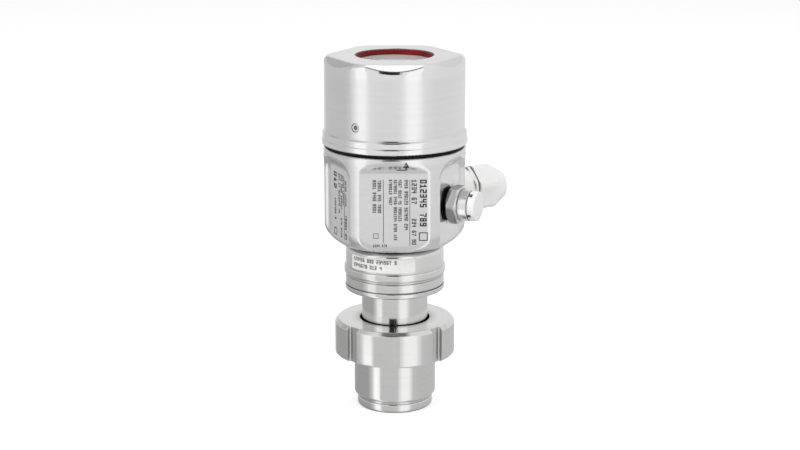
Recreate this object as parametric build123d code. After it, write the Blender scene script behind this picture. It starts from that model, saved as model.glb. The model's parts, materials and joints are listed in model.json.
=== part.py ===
from build123d import *
import os
from math import cos, pi, radians, sin, tan

os.makedirs("parts", exist_ok=True)

# Hygienic pressure transmitter, in millimetres. The origin is the centre of the spigot's flat
# end, +Z runs up the axis to the sight glass, and -Y is the front, with the name plate flat.

# Clearances
RUN = 0.05              # radial clearance of a turning or sliding fit
SEAT = 0.2              # axial play under a snap ring
HEX_SIDES = 6

# Adapter: spigot, shoulder and neck in one turned piece
TIP_R = 22.0            # the 44 mm hygienic spigot
TIP_H = 5.0
TIP_ROUND = 1.6
TIP_GROOVE_R = 21.4
TIP_GROOVE_W = 1.2
SPIGOT_R = 23.8
SPIGOT_TOP = 46.8       # shoulder that the coupling nut bears on
NECK_R = 19.25
NECK_L = 24.0           # free neck between shoulder and collar
NECK_WALL = 7.0
PLUG_R = 16.5           # end of the neck, inside the collar
PLUG_L = 9.0

# Sensor in the spigot
MEMBRANE_R = 15.5
MEMBRANE_T = 0.4        # lies flush in a recess of the same depth
MEMBRANE_WAVES = 4
MEMBRANE_WAVE = 0.15
MEMBRANE_CENTRE_R = 3.0
CELL_R = 13.0
CELL_H = 22.0
HEADER_R = 8.0
HEADER_H = 4.0
HEADER_PINS = 5
HEADER_PIN_R = 0.5
HEADER_PIN_L = 3.0
LEAD_R = 2.2

# Coupling nut
NUT_R = 35.0
NUT_H = 21.0
NUT_WEB = 6.0
NUT_HOLE_R = 20.35
NUT_THREAD_R = 29.0
NUT_CHAMFER = 2.0
NUT_FOOT_CHAMFER = 1.0
NUT_SLOTS = 4
NUT_SLOT_W = 7.6
NUT_SLOT_D = 2.5
NUT_SLOT_FIRST = 45.0

# Collar
COLLAR_H = 29.2
COLLAR_R = 28.6
COLLAR_LIP = 0.3        # how far the lip stands proud of the collar
COLLAR_LIP_H = 3.2
COLLAR_GROOVE = 0.5
COLLAR_BAND_TOP = 8.4
COLLAR_BEAD = 0.8       # how far the bead stands proud
COLLAR_BEAD_LOW = 10.6
COLLAR_BEAD_H = 3.8
COLLAR_COVE = 2.6
COLLAR_WALL_TOP = 4.1   # rise of the cove up to the housing
COLLAR_LEDGE = 1.2
COLLAR_SEAT_W = 2.5     # face on which the neck bears
COLLAR_FACE_ROUND = 1.5

# Housing can, deep drawn, with pressed flats
CAN_R = 40.9
CAN_H = 55.7
CAN_WALL = 1.8
CAN_FOOT_ROUND = 9.0
CAN_RIM_ROUND = 1.0
PLATE_DEPTH = 4.9       # how deep the front and rear flats are pressed
PORT_DEPTH = 6.7        # how deep the four side flats are pressed
PLATE_HALF_W = 26.0
VENT_HALF_W = 16.0
GLAND_HALF_W = 12.5
PLATE_FLAT_TOP = 48.0   # top edges of the flats, above the can's foot
PORT_FLAT_TOP = 46.3
FLAT_BLEND = 3.0        # hollow radius round a flat
FLAT_CORNER = 5.0
PLATE_ROUND = 4.0       # outer radii where the flats meet the can
VENT_ROUND = 2.0
GLAND_ROUND = 1.0
PRESS_REACH = 12.0
PRESS_RUN_OUT = 20.0    # the flats run out through the can's foot
VENT_AZIMUTH = 66.5     # from the front towards +X
GLAND_AZIMUTH = 120.0
PORT_HEIGHT = 24.0      # axis of both ports above the can's foot

# Sleeve that carries the housing in the collar
SLEEVE_R = 20.0
SLEEVE_WALL = 4.0
SLEEVE_L = 15.7
SLEEVE_FLANGE_R = 25.0
SLEEVE_FLANGE_T = 2.2
SNAP_PROUD = 2.5
SNAP_GROOVE = 1.0
SNAP_ROOM = 0.5         # radial room round the snap ring
SNAP_MOUTH = 5.0        # opening of the ring's ends
SNAP_T = 1.6
SNAP_UP = 1.3
SEAL_GROOVE = 1.6
SEAL_W = 2.4
SEAL_DOWN = 3.4

# Threaded joint of the cover
NECK_RING_INSET = 4.9   # from the can's outside to the thread
NECK_RING_WALL = 2.5
NECK_RING_H = 20.3      # stands up out of the can
NECK_RING_FLANGE = 1.9
NECK_RING_DROP = 3.3    # inner skirt, down to the ledge
NECK_RING_RELIEF = 1.0
LEDGE_W = 3.0
LEDGE_T = 1.5
COVER_SEAL_T = 1.8      # the black gap under the cover
COVER_SEAL_IN = 1.0
COVER_SEAL_W = 3.1

# Cover
COVER_RING_WALL = 2.8   # threaded ring between the neck ring and the cover
COVER_H = 50.2
COVER_WALL = 1.5
RIM_PROUD = 1.6
RIM_H = 3.0
RIM_STEP_PROUD = 1.15
RIM_STEP_H = 6.6
RIM_BLEND = 1.2
FACETS = 6
FACET_INSET = 5.8       # from the cover's wall to the facet's upper edge
FACET_SLOPE = 34.0
FACET_ROUND = 3.2
COVER_CROWN_ROUND = 3.4
CROWN_MIN_ROUND = 0.6
COVER_RING_LOW = 0.8
COVER_RING_H = 18.2
LOCK_AZIMUTH = -32.7
LOCK_HEIGHT = 14.5      # above the cover's rim
LOCK_R = 2.5
LOCK_SINK = 0.35
LOCK_BEVEL = 0.3
LOCK_SOCKET = 2.5       # hexagon key size of both set screws

# Sight glass
WINDOW_R = 22.6
GASKET_LIP = 0.9
GASKET_SINK = 0.5
GASKET_FLANGE_T = 1.9
GASKET_FLANGE_W = 3.2
GLASS_T = 4.0
FRAME_WALL = 3.0
FRAME_H = 10.0
RETAINER_T = 3.2
RETAINER_W = 4.8
RETAINER_NOTCH = 4.0

# Electronics
INSERT_PLAY = 0.3
INSERT_FLANGE_PLAY = 0.1
INSERT_DROP = 11.0
INSERT_FLANGE_T = 2.5
INSERT_NOTCH_W = 14.0
INSERT_NOTCH_D = 8.0
PLUG_BODY_R = 5.0
PLUG_BODY_L = 7.0
SCREW_R = 1.25
SCREW_HEAD_R = 1.8
SCREW_HEAD_T = 1.4
SCREW_SLOT = 0.6
INSERT_SCREWS = 3
INSERT_SCREW_FIRST = 20.0
BLOCK_SIZE = (26.0, 11.0, 9.5)
BLOCK_Y = 15.5
TERMINALS = 3
TERMINAL_PITCH = 7.5
TERMINAL_R = 2.4
TERMINAL_SINK = 2.5
TERMINAL_SLOT = 0.8
WIRE_MOUTH_W = 4.0
WIRE_MOUTH_H = 3.6
WIRE_MOUTH_UP = 2.6
GROUND_X = -22.0
GROUND_Y = 8.0
GROUND_R = 3.2
GROUND_T = 2.4
GROUND_SLOT = 1.0
POST_COUNT = 3
POST_R = 2.2
POST_CIRCLE = 24.5
POST_FIRST = 60.0
POST_L = 23.5
DISPLAY_R = 28.5
DISPLAY_H = 14.0
SCREEN_SIZE = (33.0, 19.0, 2.0)
SCREEN_Y = 3.5
SCREEN_SINK = 0.2
KEY_R = 2.4
KEY_H = 4.6
KEY_PROUD = 1.3
KEY_TRAVEL = 0.6
KEY_SPACING = 9.0
KEY_Y = -13.0
KEY_ROUND = 0.5
KEY_WELL = 0.3          # room under a pressed key

# Vent plug, sizes along its own axis
VENT_GASKET_R = 9.4
VENT_GASKET_T = 1.6
VENT_HEX = 20.0
VENT_HEX_T = 6.2
VENT_TURN = 33.0
VENT_SHANK_R = 8.9
VENT_SHANK_T = 5.9
VENT_GROOVE_W = 0.4     # shadow gap under the cap
VENT_GROOVE_D = 1.2
VENT_THREAD_R = 6.0
VENT_THREAD_L = 7.5
VENT_NUT_HEX = 17.0
VENT_NUT_T = 3.0
VENT_BORE_R = 4.0
VENT_MEMBRANE_T = 0.6
VENT_CAP_R = 8.5
VENT_CAP_T = 4.1
VENT_CAP_WALL = 1.5
VENT_CAP_ROUND = 0.8
VENT_CAP_SLOTS = 4
VENT_CAP_SLOT = 2.3
VENT_CAP_SLOT_L = 2.2

# Cable gland, sizes along its own axis
GLAND_GASKET_T = 1.5
GLAND_GASKET_INSET = 1.9
GLAND_BASE_R = 13.0
GLAND_BASE_T = 11.0
GLAND_NECK_R = 12.2
GLAND_NECK_T = 1.2
GLAND_HEX = 24.0
GLAND_HEX_T = 2.3
GLAND_TURN = 8.5
GLAND_THREAD_R = 10.0
GLAND_THREAD_L = 9.0
GLAND_BORE_R = 7.0
GLAND_NUT_HEX = 24.0
GLAND_NUT_T = 4.0
GLAND_STEM_R = 10.5     # collar that the dome nut screws on
GLAND_STEM_L = 9.0
DOME_HEX = 25.6
DOME_TURN = 13.0
DOME_R = 14.1
DOME_L = 22.0
DOME_STRAIGHT = 11.8
DOME_SHOULDER = 1.5
DOME_END_R = 8.0
DOME_END_ROUND = 1.2
DOME_MOUTH_R = 6.5
DOME_GAP = 0.3
DOME_SEAT_LOW = 2.3     # cone in the nut that squeezes the bush, above the stem's end
DOME_SEAT_HIGH = 6.4
BUSH_R = 8.6            # rubber bush in the stem's mouth
BUSH_PLAY = 0.1
BUSH_FOOT = 2.0
BUSH_COLLAR = 1.6
BUSH_COLLAR_T = 1.7
BUSH_TIP = 4.6
CABLE_R = 5.0           # largest cable that the gland grips

# Sizes and levels worked out from those above
COLLAR_BEAD_R = COLLAR_R + COLLAR_BEAD
PLATE_FLAT = CAN_R - PLATE_DEPTH
PORT_FLAT = CAN_R - PORT_DEPTH
NECK_RING_R = CAN_R - NECK_RING_INSET
COVER_R = NECK_RING_R + COVER_RING_WALL + COVER_WALL
FACET_APOTHEM = COVER_R - FACET_INSET
RIM_R = COVER_R + RIM_PROUD
RIM_STEP_R = COVER_R + RIM_STEP_PROUD
LEDGE_R = NECK_RING_R - NECK_RING_WALL - LEDGE_W
INSERT_R = LEDGE_R - INSERT_PLAY
INSERT_FLANGE_R = NECK_RING_R - NECK_RING_WALL - INSERT_FLANGE_PLAY
SNAP_R = SLEEVE_R + SNAP_PROUD
COLLAR_RECESS_R = SNAP_R + SNAP_ROOM
NUT_FOOT = SPIGOT_TOP + NUT_WEB - NUT_H
COLLAR_FOOT = SPIGOT_TOP + NECK_L
CAN_FOOT = COLLAR_FOOT + COLLAR_H
CAN_TOP = CAN_FOOT + CAN_H
COVER_FOOT = CAN_TOP + COVER_SEAL_T
COVER_TOP = COVER_FOOT + COVER_H
NECK_RING_TOP = CAN_TOP + NECK_RING_H
LEDGE_TOP = CAN_TOP - NECK_RING_FLANGE - NECK_RING_DROP + LEDGE_T
INSERT_TOP = LEDGE_TOP + INSERT_FLANGE_T
INSERT_FOOT = LEDGE_TOP - INSERT_DROP
DISPLAY_FOOT = INSERT_TOP + POST_L
DISPLAY_TOP = DISPLAY_FOOT + DISPLAY_H
PORT_Z = CAN_FOOT + PORT_HEIGHT
SET_SCREW_Z = CAN_FOOT - COLLAR_WALL_TOP - 3.9
NECK_BORE_R = NECK_R - NECK_WALL
CAN_IN_R = CAN_R - CAN_WALL
COVER_IN_R = COVER_R - COVER_WALL
CELL_TOP = MEMBRANE_T + CELL_H


def turned(*profile):
    """Solid of revolution about Z from (radius, height) corners; a third value rounds a corner."""
    corners = [(p[0], p[1]) for p in profile]
    face = make_face(Polyline(*corners, close=True))
    for point in profile:
        if len(point) == 3:
            corner = face.vertices().sort_by_distance((point[0], point[1], 0))[0]
            face = fillet(corner, point[2])
    return revolve(Plane.XZ * face, Axis.Z)


def ring(inner, outer, low, high):
    return turned((inner, low), (outer, low), (outer, high), (inner, high))


def disc(radius, low, high):
    return Pos(0, 0, low) * Cylinder(radius, high - low, align=(Align.CENTER, Align.CENTER, Align.MIN))


def hexagon(across_flats, low, high, turn=0.0):
    """Hexagonal prism on Z; turn is the angle of one corner from the local X axis."""
    outline = RegularPolygon(across_flats / 2, HEX_SIDES, major_radius=False, rotation=turn)
    return Pos(0, 0, low) * extrude(outline, high - low)


def radial(azimuth, height):
    """Plane whose Z points outwards at the azimuth, and whose X points up."""
    angle = radians(azimuth)
    return Plane(origin=(0, 0, height), x_dir=(0, 0, 1), z_dir=(sin(angle), -cos(angle), 0))


def around(count, radius, first=0.0):
    """Places on a circle, the first at the azimuth from the front."""
    for k in range(count):
        angle = radians(first + 360.0 * k / count)
        yield Pos(radius * sin(angle), -radius * cos(angle), 0)


# Process side

def process_adapter():
    groove_top = TIP_H + 0.4 + TIP_GROOVE_W
    bore = CELL_R + RUN
    plug_top = COLLAR_FOOT + PLUG_L
    body = turned(
        (MEMBRANE_R + RUN, 0), (TIP_R, 0, TIP_ROUND), (TIP_R, TIP_H, 0.8),
        (TIP_GROOVE_R, TIP_H + 0.4), (TIP_GROOVE_R, groove_top, 0.3),
        (SPIGOT_R, groove_top + 1.2, 1.4), (SPIGOT_R, SPIGOT_TOP, 0.5), (NECK_R, SPIGOT_TOP),
        (NECK_R, COLLAR_FOOT), (PLUG_R, COLLAR_FOOT), (PLUG_R, plug_top, 0.5),
        (NECK_BORE_R, plug_top), (NECK_BORE_R, CELL_TOP + HEADER_H + HEADER_PIN_L),
        (bore, CELL_TOP + HEADER_H), (bore, MEMBRANE_T), (MEMBRANE_R + RUN, MEMBRANE_T))
    return body - neck_seal()


def neck_seal():
    middle = COLLAR_FOOT + PLUG_L / 2
    return ring(PLUG_R - SEAL_GROOVE, PLUG_R, middle - SEAL_W / 2, middle + SEAL_W / 2)


def process_diaphragm():
    """Thin disc with round corrugations, welded in the recess of the spigot's end."""
    outer = CELL_R - 0.5
    steps = 2 * MEMBRANE_WAVES
    pitch = (outer - MEMBRANE_CENTRE_R) / steps
    face = [(MEMBRANE_R, 0)]
    for k in range(steps + 1):
        face.append((outer - k * pitch, MEMBRANE_WAVE * (k % 2)))
    return turned(*face, (0, 0), (0, MEMBRANE_T), (MEMBRANE_R, MEMBRANE_T))


def sensor_cell():
    return turned((0, MEMBRANE_T), (CELL_R, MEMBRANE_T), (CELL_R, CELL_TOP, 1.0), (0, CELL_TOP))


def sensor_header():
    """Feed-through of the cell, with a circle of pins round the lead."""
    top = CELL_TOP + HEADER_H
    header = disc(HEADER_R, CELL_TOP, top)
    for place in around(HEADER_PINS, HEADER_R * 0.65):
        header += place * disc(HEADER_PIN_R, top, top + HEADER_PIN_L)
    return header


def sensor_lead():
    return disc(LEAD_R, CELL_TOP + HEADER_H, INSERT_FOOT - PLUG_BODY_L)


def coupling_nut():
    top = NUT_FOOT + NUT_H
    lead_in = 1.5
    nut = turned(
        (NUT_THREAD_R + lead_in, NUT_FOOT), (NUT_R - NUT_FOOT_CHAMFER, NUT_FOOT),
        (NUT_R, NUT_FOOT + NUT_FOOT_CHAMFER), (NUT_R, top - NUT_CHAMFER, 0.5),
        (NUT_R - NUT_CHAMFER, top, 0.5), (NUT_HOLE_R, top, 0.3), (NUT_HOLE_R, SPIGOT_TOP),
        (NUT_THREAD_R, SPIGOT_TOP), (NUT_THREAD_R, NUT_FOOT + lead_in))
    slot = Box(2 * NUT_SLOT_D, NUT_SLOT_W, 3 * NUT_H)
    slot = fillet(slot.edges().filter_by(Axis.Z), 0.9)
    for k in range(NUT_SLOTS):
        turn = NUT_SLOT_FIRST + 360.0 * k / NUT_SLOTS
        nut -= Rot(0, 0, turn) * Pos(NUT_R, 0, NUT_FOOT + NUT_H / 2) * slot
    return nut


def sensor_collar():
    foot = COLLAR_FOOT
    top = CAN_FOOT
    lip = foot + COLLAR_LIP_H
    lip_r = COLLAR_R + COLLAR_LIP
    bead = foot + COLLAR_BEAD_LOW
    band = foot + COLLAR_BAND_TOP
    bore = SLEEVE_R + RUN
    ledge = foot + PLUG_L
    recess_top = top - SLEEVE_L + SNAP_UP + SNAP_T + SEAT
    collar = turned(
        (PLUG_R + RUN, foot), (lip_r, foot, COLLAR_FACE_ROUND), (lip_r, lip, 0.4),
        (COLLAR_R - COLLAR_GROOVE, lip), (COLLAR_R - COLLAR_GROOVE, lip + COLLAR_GROOVE),
        (COLLAR_R, lip + COLLAR_GROOVE, 0.3), (COLLAR_R, band, 0.3),
        (COLLAR_R - COLLAR_GROOVE, band + COLLAR_GROOVE),
        (COLLAR_R - COLLAR_GROOVE, bead - COLLAR_GROOVE),
        (COLLAR_BEAD_R, bead, 0.8), (COLLAR_BEAD_R, bead + COLLAR_BEAD_H, 0.8),
        (COLLAR_R, bead + COLLAR_BEAD_H + COLLAR_GROOVE, 0.3),
        (COLLAR_R, top - COLLAR_WALL_TOP, COLLAR_COVE),
        (COLLAR_R - COLLAR_WALL_TOP, top - 0.8, 0.5), (COLLAR_R - COLLAR_WALL_TOP, top),
        (bore, top), (bore, recess_top), (COLLAR_RECESS_R, recess_top),
        (COLLAR_RECESS_R, ledge + COLLAR_LEDGE), (PLUG_R - COLLAR_SEAT_W, ledge + COLLAR_LEDGE),
        (PLUG_R - COLLAR_SEAT_W, ledge), (PLUG_R + RUN, ledge))
    return collar - radial(180, SET_SCREW_Z) * disc(LOCK_R + RUN, SLEEVE_R - 1, COLLAR_BEAD_R + 1)


def set_screw(tip, head):
    """Headless screw along a radial plane, with a hexagon socket in its outer end."""
    depth = LOCK_R
    screw = disc(LOCK_R, tip, head)
    screw = chamfer(screw.edges(), LOCK_BEVEL)
    return screw - hexagon(LOCK_SOCKET, head - depth, head + 1)


def turn_lock_screw():
    return radial(180, SET_SCREW_Z) * set_screw(SLEEVE_R + 2 * RUN, COLLAR_R - LOCK_SINK)


# Housing

def flat_press(distance, half_width, top, grow):
    """Tool that presses a flat: a block whose sides and top lean back at 45 degrees."""
    low = CAN_FOOT - PRESS_RUN_OUT

    def outline(spread, level):
        width = 2 * (half_width + spread)
        height = top + spread - low
        centre = (low + top + spread) / 2
        return Pos(centre, 0, level) * RectangleRounded(height, width, FLAT_CORNER + spread)

    tool = loft([outline(0, distance), outline(PRESS_REACH, distance + PRESS_REACH)])
    edges = tool.faces().sort_by(Axis.Z)[0].edges()
    return fillet(edges, FLAT_BLEND + grow)


def pressed_flats():
    """Azimuth, distance, half width, height of the top edge and outer radius of each flat."""
    for azimuth in (0, 180):
        yield azimuth, PLATE_FLAT, PLATE_HALF_W, PLATE_FLAT_TOP, PLATE_ROUND
    for side in (1, -1):
        yield side * VENT_AZIMUTH, PORT_FLAT, VENT_HALF_W, PORT_FLAT_TOP, VENT_ROUND
        yield side * GLAND_AZIMUTH, PORT_FLAT, GLAND_HALF_W, PORT_FLAT_TOP, GLAND_ROUND


def can_body(shrink):
    """The can's outer form, or its inner form, with square edges, when shrunk by the wall."""
    radius = CAN_R - shrink
    foot = CAN_FOOT + shrink
    top = CAN_TOP + shrink
    body = turned((0, foot), (radius, foot, CAN_FOOT_ROUND - shrink), (radius, top), (0, top))
    # a 45 degree side moves by this much along the flat when the wall goes in
    spread = shrink * (2 ** 0.5 - 1)
    for azimuth, distance, half_width, flat_top, edge_round in pressed_flats():
        press = flat_press(distance - shrink, half_width + spread, CAN_FOOT + flat_top + spread, shrink)
        tool = radial(azimuth, 0) * press
        pressed = body - tool
        if shrink == 0:
            pressed = fillet(new_edges(body, tool, combined=pressed), edge_round)
        body = pressed
    return body


def housing_shell():
    can = can_body(0)
    rim = can.edges().filter_by(GeomType.CIRCLE).sort_by(Axis.Z)[-1]
    can = fillet(rim, CAN_RIM_ROUND)
    can -= can_body(CAN_WALL)
    can -= disc(SLEEVE_R, CAN_FOOT - 1, CAN_FOOT + CAN_WALL + 1)
    can -= radial(VENT_AZIMUTH, PORT_Z) * disc(VENT_THREAD_R, VENT_THREAD_R, CAN_R)
    can -= radial(GLAND_AZIMUTH, PORT_Z) * disc(GLAND_THREAD_R, GLAND_THREAD_R, CAN_R)
    return can


def sleeve_levels():
    foot = CAN_FOOT - SLEEVE_L
    snap = foot + SNAP_UP
    seal = CAN_FOOT - SEAL_DOWN
    return foot, snap, seal


def housing_sleeve():
    foot, snap, seal = sleeve_levels()
    floor = CAN_FOOT + CAN_WALL
    groove = SLEEVE_R - SNAP_GROOVE
    return turned(
        (SLEEVE_R - SLEEVE_WALL, foot), (SLEEVE_R, foot, 0.4), (SLEEVE_R, snap), (groove, snap),
        (groove, snap + SNAP_T), (SLEEVE_R, snap + SNAP_T), (SLEEVE_R, seal - SEAL_W),
        (SLEEVE_R - SEAL_GROOVE, seal - SEAL_W), (SLEEVE_R - SEAL_GROOVE, seal), (SLEEVE_R, seal),
        (SLEEVE_R, floor), (SLEEVE_FLANGE_R, floor), (SLEEVE_FLANGE_R, floor + SLEEVE_FLANGE_T, 0.8),
        (SLEEVE_R - SLEEVE_WALL, floor + SLEEVE_FLANGE_T))


def snap_ring():
    snap = sleeve_levels()[1]
    gap = Pos(0, SNAP_R, snap) * Box(SNAP_MOUTH, 2 * SNAP_MOUTH, 3 * SNAP_T)
    return ring(SLEEVE_R - SNAP_GROOVE, SNAP_R, snap, snap + SNAP_T) - gap


def sleeve_seal():
    seal = sleeve_levels()[2]
    return ring(SLEEVE_R - SEAL_GROOVE, SLEEVE_R, seal - SEAL_W, seal)


def cover_neck_ring():
    """Threaded ring welded in the can's mouth, with the ledge for the electronics inside."""
    flange_foot = CAN_TOP - NECK_RING_FLANGE
    foot = flange_foot - NECK_RING_DROP
    inner = NECK_RING_R - NECK_RING_WALL
    relief = NECK_RING_R - NECK_RING_RELIEF
    neck = turned(
        (LEDGE_R, foot), (relief, foot, 0.5), (relief, flange_foot), (CAN_IN_R, flange_foot),
        (CAN_IN_R, CAN_TOP), (NECK_RING_R, CAN_TOP), (NECK_RING_R, NECK_RING_TOP, 0.8),
        (inner, NECK_RING_TOP, 0.5), (inner, LEDGE_TOP), (LEDGE_R, LEDGE_TOP))
    for place in insert_screw_places():
        neck -= place * disc(SCREW_R, foot - 1, LEDGE_TOP + 1)
    return neck


# Cover

def facet_tool(shrink):
    """Half-space above one sloping facet of the cover, for the front one."""
    angle = radians(FACET_SLOPE)
    # the inner facet lies one wall deeper, measured square to its slope
    apothem = FACET_APOTHEM - shrink * tan(angle / 2)
    edge = (0, -apothem, COVER_TOP - shrink)
    plane = Plane(origin=edge, x_dir=(1, 0, 0), z_dir=(0, -sin(angle), cos(angle)))
    return plane * Box(4 * COVER_R, 4 * COVER_R, COVER_R, align=(Align.CENTER, Align.CENTER, Align.MIN))


def cover_form(shrink, *skirt):
    """Closed cover form: a turned cup whose crown is cut by six sloping facets."""
    radius = COVER_R - shrink
    top = COVER_TOP - shrink
    crown = max(COVER_CROWN_ROUND - shrink, CROWN_MIN_ROUND)
    form = turned((0, COVER_FOOT), *skirt, (radius, top, crown), (0, top))
    for k in range(FACETS):
        form -= Rot(0, 0, 360.0 * k / FACETS) * facet_tool(shrink)
    return form


def round_facets(form):
    """Soft edge all round each facet, as the drawing die leaves it."""
    flats = form.faces().filter_by(GeomType.PLANE)
    facets = [flat for flat in flats if 0 < flat.normal_at().Z < 1 - COVER_WALL / COVER_R]
    edges = [edge for facet in facets for edge in facet.edges()]
    return fillet(edges, FACET_ROUND)


def cover_shell():
    foot = COVER_FOOT
    outer = cover_form(
        0, (RIM_R, foot, 0.6), (RIM_R, foot + RIM_H, 0.5), (RIM_STEP_R, foot + RIM_H + 0.5, 0.3),
        (RIM_STEP_R, foot + RIM_STEP_H, 0.6), (COVER_R, foot + RIM_STEP_H + RIM_BLEND, 1.0))
    inner = cover_form(COVER_WALL, (COVER_IN_R, foot))
    shell = round_facets(outer) - inner
    shell -= disc(WINDOW_R, COVER_TOP - 3 * COVER_WALL, COVER_TOP + 1)
    hole = disc(LOCK_R + RUN, COVER_IN_R - 2, RIM_R)
    return shell - radial(LOCK_AZIMUTH, foot + LOCK_HEIGHT) * hole


def cover_thread_ring():
    low = COVER_FOOT + COVER_RING_LOW
    bore = NECK_RING_R + RUN
    body = turned(
        (bore, low, 0.4), (COVER_IN_R, low), (COVER_IN_R, low + COVER_RING_H),
        (bore, low + COVER_RING_H, 1.0))
    hole = disc(LOCK_R + RUN, bore - 2, COVER_R)
    return body - radial(LOCK_AZIMUTH, COVER_FOOT + LOCK_HEIGHT) * hole


def cover_lock_screw():
    plane = radial(LOCK_AZIMUTH, COVER_FOOT + LOCK_HEIGHT)
    return plane * set_screw(NECK_RING_R + 2 * RUN, COVER_R - LOCK_SINK)


def cover_seal():
    inner = NECK_RING_R + COVER_SEAL_IN
    outer = inner + COVER_SEAL_W
    corner = COVER_SEAL_T / 4
    return turned((inner, CAN_TOP), (outer, CAN_TOP, corner), (outer, COVER_FOOT, corner), (inner, COVER_FOOT))


def window_levels():
    sheet = COVER_TOP - COVER_WALL
    glass_top = sheet - GASKET_FLANGE_T
    return sheet, glass_top, glass_top - GLASS_T


def window_seal():
    """Gasket of the sight glass; its lip lines the opening up to just under the sheet's top."""
    sheet, glass_top, _ = window_levels()
    lip_top = COVER_TOP - GASKET_SINK
    return turned(
        (WINDOW_R - GASKET_LIP, glass_top), (WINDOW_R + GASKET_FLANGE_W, glass_top),
        (WINDOW_R + GASKET_FLANGE_W, sheet), (WINDOW_R, sheet), (WINDOW_R, lip_top, 0.3),
        (WINDOW_R - GASKET_LIP, lip_top, 0.3))


def window_glass():
    _, top, low = window_levels()
    outer = WINDOW_R + GASKET_FLANGE_W
    return turned((0, low), (outer, low, 0.4), (outer, top, 0.4), (0, top))


def window_frame():
    sheet = window_levels()[0]
    inner = WINDOW_R + GASKET_FLANGE_W + RUN
    return turned(
        (inner, sheet - FRAME_H), (inner + FRAME_WALL, sheet - FRAME_H, 0.6),
        (inner + FRAME_WALL, sheet), (inner, sheet))


def window_retainer():
    low = window_levels()[2]
    outer = WINDOW_R + GASKET_FLANGE_W
    body = ring(outer - RETAINER_W, outer, low - RETAINER_T, low)
    notch = Box(RETAINER_NOTCH, RETAINER_NOTCH, RETAINER_T)
    for place in around(2, outer - RETAINER_W):
        body -= place * Pos(0, 0, low - RETAINER_T) * notch
    return body


# Electronics

def insert_screw_places():
    return around(INSERT_SCREWS, INSERT_FLANGE_R - SCREW_HEAD_R, INSERT_SCREW_FIRST)


def electronics_insert():
    """Potted module; its flange lies on the ledge, and a notch lets the wires pass."""
    body = turned(
        (0, INSERT_FOOT), (INSERT_R, INSERT_FOOT, 1.5), (INSERT_R, LEDGE_TOP),
        (INSERT_FLANGE_R, LEDGE_TOP), (INSERT_FLANGE_R, INSERT_TOP, 0.6), (0, INSERT_TOP))
    notch = Box(INSERT_NOTCH_W, 2 * INSERT_NOTCH_D, 4 * INSERT_DROP)
    angle = radians(GLAND_AZIMUTH)
    rim = Pos(INSERT_FLANGE_R * sin(angle), -INSERT_FLANGE_R * cos(angle), LEDGE_TOP)
    place = rim * Rot(0, 0, GLAND_AZIMUTH)
    body -= place * notch
    for spot in insert_screw_places():
        body -= spot * disc(SCREW_R, LEDGE_TOP - 1, INSERT_TOP + 1)
    return body


def insert_screws():
    screws = []
    foot = CAN_TOP - NECK_RING_FLANGE - NECK_RING_DROP
    for spot in insert_screw_places():
        head = disc(SCREW_HEAD_R, INSERT_TOP, INSERT_TOP + SCREW_HEAD_T)
        slot = Pos(0, 0, INSERT_TOP + SCREW_HEAD_T) * Box(4 * SCREW_R, SCREW_SLOT, SCREW_HEAD_T)
        screws.append(spot * (head + disc(SCREW_R, foot, INSERT_TOP) - slot))
    return Compound(children=screws)


def sensor_plug():
    low = INSERT_FOOT - PLUG_BODY_L
    return turned((0, low), (PLUG_BODY_R, low, 0.8), (PLUG_BODY_R, INSERT_FOOT), (0, INSERT_FOOT))


def terminal_places():
    for k in range(TERMINALS):
        yield Pos((k - (TERMINALS - 1) / 2) * TERMINAL_PITCH, BLOCK_Y, 0)


def terminal_block():
    """Clamp block with a screw well over each clamp and a wire mouth in its front."""
    length, depth, height = BLOCK_SIZE
    block = Pos(0, BLOCK_Y, INSERT_TOP + height / 2) * Box(length, depth, height)
    block = fillet(block.edges().filter_by(Axis.Z), 0.8)
    top = INSERT_TOP + height
    mouth = Box(WIRE_MOUTH_W, depth / 2, WIRE_MOUTH_H)
    for place in terminal_places():
        block -= place * disc(TERMINAL_R + RUN, top - 2 * TERMINAL_SINK, top + 1)
        block -= place * Pos(0, -depth / 2, INSERT_TOP + WIRE_MOUTH_UP) * mouth
    return block


def terminal_screws():
    top = INSERT_TOP + BLOCK_SIZE[2] - TERMINAL_SINK
    low = INSERT_TOP + BLOCK_SIZE[2] - 2 * TERMINAL_SINK
    slot = Pos(0, 0, top) * Box(4 * TERMINAL_R, TERMINAL_SLOT, 2 * TERMINAL_SLOT)
    screw = disc(TERMINAL_R, low, top) - slot
    return Compound(children=[place * screw for place in terminal_places()])


def ground_screw():
    top = INSERT_TOP + GROUND_T
    head = hexagon(2 * GROUND_R, INSERT_TOP, top)
    slot = Pos(0, 0, top) * Box(4 * GROUND_R, GROUND_SLOT, 2 * GROUND_SLOT)
    return Pos(GROUND_X, GROUND_Y, 0) * (head - slot)


def display_posts():
    post = disc(POST_R, INSERT_TOP, DISPLAY_FOOT)
    return Compound(children=[place * post for place in around(POST_COUNT, POST_CIRCLE, POST_FIRST)])


def key_places():
    for k in (-1, 0, 1):
        yield Pos(k * KEY_SPACING, KEY_Y, 0)


def display_housing():
    body = turned(
        (0, DISPLAY_FOOT), (DISPLAY_R, DISPLAY_FOOT, 1.0), (DISPLAY_R, DISPLAY_TOP, 1.5), (0, DISPLAY_TOP))
    well = DISPLAY_TOP + KEY_PROUD - KEY_H - KEY_TRAVEL - KEY_WELL
    length, width, depth = SCREEN_SIZE
    body -= Pos(0, SCREEN_Y, DISPLAY_TOP) * Box(length, width, 2 * depth)
    for place in key_places():
        body -= place * disc(KEY_R + RUN, well, DISPLAY_TOP + 1)
    return body


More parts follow.
